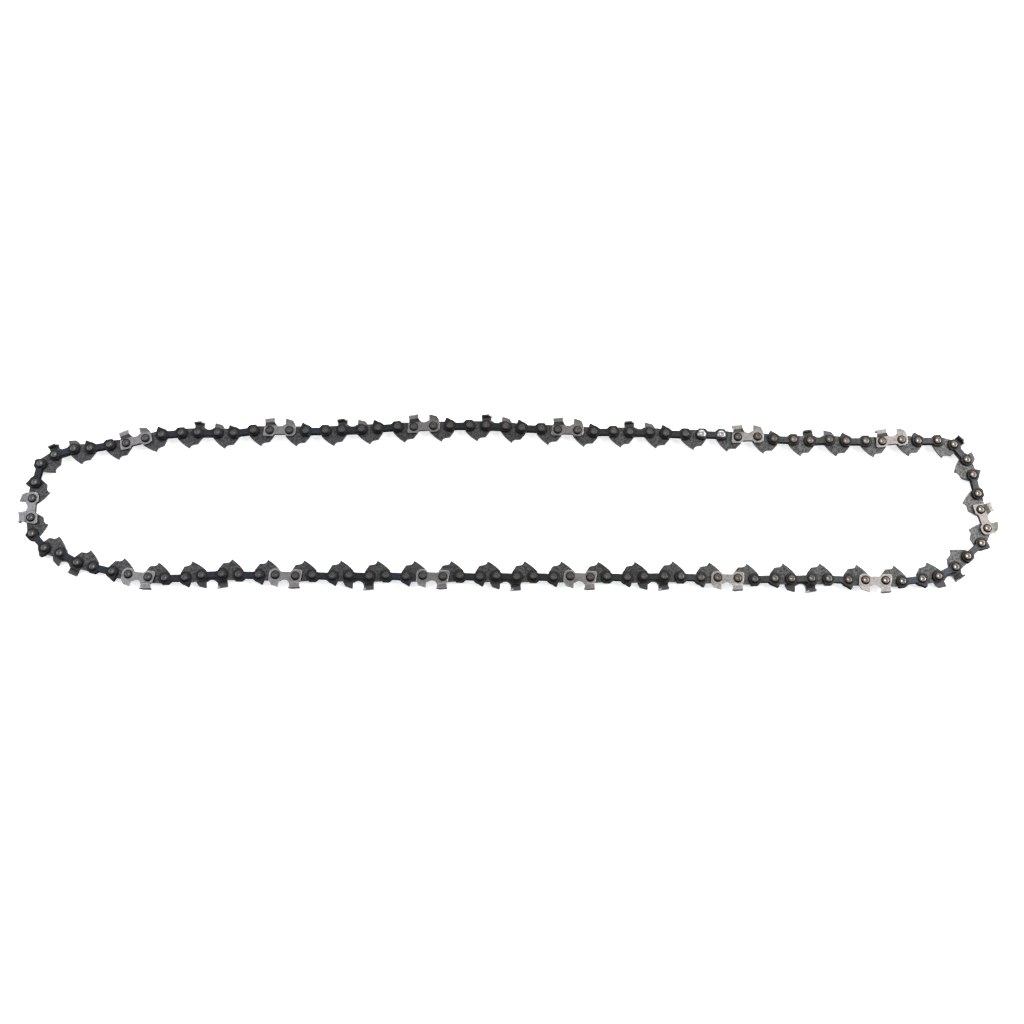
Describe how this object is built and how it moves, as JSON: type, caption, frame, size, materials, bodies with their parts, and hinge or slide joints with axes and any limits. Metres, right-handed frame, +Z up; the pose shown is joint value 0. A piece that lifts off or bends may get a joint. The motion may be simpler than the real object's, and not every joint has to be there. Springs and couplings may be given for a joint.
{
  "type": "chainsaw chain loop",
  "caption": "Closed low-profile saw chain lying on its side: hooked drive links, flared chisel cutters, bumper tie straps and riveted pivots in a long oval loop",
  "frame": {"origin": "on the surface that the loop lies on, below the middle of the loop", "axes": "+X along the loop, the way its upper run travels; +Y across it, towards that run; +Z up, the right-hand side of the chain"},
  "size_m": [0.4996, 0.0951, 0.0062],
  "materials": {
    "drive_link_steel": "dark hardened steel, fine grain",
    "blued_strap_steel": "blued satin",
    "cutter_chrome": "hard chrome on the outer faces",
    "rivet_steel": "spun, satin",
    "joining_strap_steel": "blued satin",
    "joining_rivet_steel": "bright spun"
  },
  "bodies": {
    "upper_run": {"upper_run_drive_links": "drive_link_steel", "upper_run_pivot_drive_link": "drive_link_steel", "upper_run_right_tie_straps": "blued_strap_steel", "upper_run_left_tie_straps": "blued_strap_steel", "upper_run_plain_straps": "blued_strap_steel", "upper_run_rivets": "rivet_steel", "upper_run_pivot_rivet": "rivet_steel", "right_cutter_01": "cutter_chrome", "right_cutter_02": "cutter_chrome", "left_cutter_01": "cutter_chrome", "left_cutter_02": "cutter_chrome", "left_cutter_03": "cutter_chrome"},
    "front_end": {"front_end_drive_links": "drive_link_steel", "front_end_pivot_drive_link": "drive_link_steel", "front_end_right_tie_straps": "blued_strap_steel", "front_end_left_tie_straps": "blued_strap_steel", "front_end_plain_straps": "blued_strap_steel", "front_end_rivets": "rivet_steel", "front_end_pivot_rivet": "rivet_steel", "right_cutter_03": "cutter_chrome", "right_cutter_04": "cutter_chrome", "right_cutter_05": "cutter_chrome", "right_cutter_06": "cutter_chrome", "right_cutter_07": "cutter_chrome", "left_cutter_04": "cutter_chrome", "left_cutter_05": "cutter_chrome", "left_cutter_06": "cutter_chrome", "left_cutter_07": "cutter_chrome", "left_cutter_08": "cutter_chrome", "joining_straps": "joining_strap_steel", "joining_rivets": "joining_rivet_steel"},
    "lower_run": {"lower_run_drive_links": "drive_link_steel", "lower_run_pivot_drive_link": "drive_link_steel", "lower_run_right_tie_straps": "blued_strap_steel", "lower_run_left_tie_straps": "blued_strap_steel", "lower_run_plain_straps": "blued_strap_steel", "lower_run_rivets": "rivet_steel", "lower_run_pivot_rivet": "rivet_steel", "right_cutter_08": "cutter_chrome", "right_cutter_09": "cutter_chrome", "right_cutter_10": "cutter_chrome", "left_cutter_09": "cutter_chrome", "left_cutter_10": "cutter_chrome"},
    "rear_end": {"rear_end_drive_links": "drive_link_steel", "rear_end_pivot_drive_link": "drive_link_steel", "rear_end_right_tie_straps": "blued_strap_steel", "rear_end_left_tie_straps": "blued_strap_steel", "rear_end_plain_straps": "blued_strap_steel", "rear_end_rivets": "rivet_steel", "rear_end_pivot_rivet": "rivet_steel", "right_cutter_11": "cutter_chrome", "right_cutter_12": "cutter_chrome", "right_cutter_13": "cutter_chrome", "right_cutter_14": "cutter_chrome", "left_cutter_11": "cutter_chrome", "left_cutter_12": "cutter_chrome", "left_cutter_13": "cutter_chrome", "left_cutter_14": "cutter_chrome"}
  },
  "joints": [
    {"name": "rear_end_swing", "type": "hinge", "parent": "upper_run", "child": "rear_end", "pos_m": [-0.11342, 0.03844, 0.0031], "axis": [0, 0, 1], "range_deg": [-20, 20]},
    {"name": "front_end_swing", "type": "hinge", "parent": "upper_run", "child": "front_end", "pos_m": [0.07276, 0.03755, 0.0031], "axis": [0, 0, 1], "range_deg": [-20, 20]},
    {"name": "lower_run_swing", "type": "hinge", "parent": "rear_end", "child": "lower_run", "pos_m": [-0.11783, -0.03787, 0.0031], "axis": [0, 0, 1], "range_deg": [-20, 20]}
  ],
  "couplings": [
    {"joint": "front_end_swing", "follows": "rear_end_swing", "ratio": 1},
    {"joint": "lower_run_swing", "follows": "rear_end_swing", "ratio": -1}
  ]
}
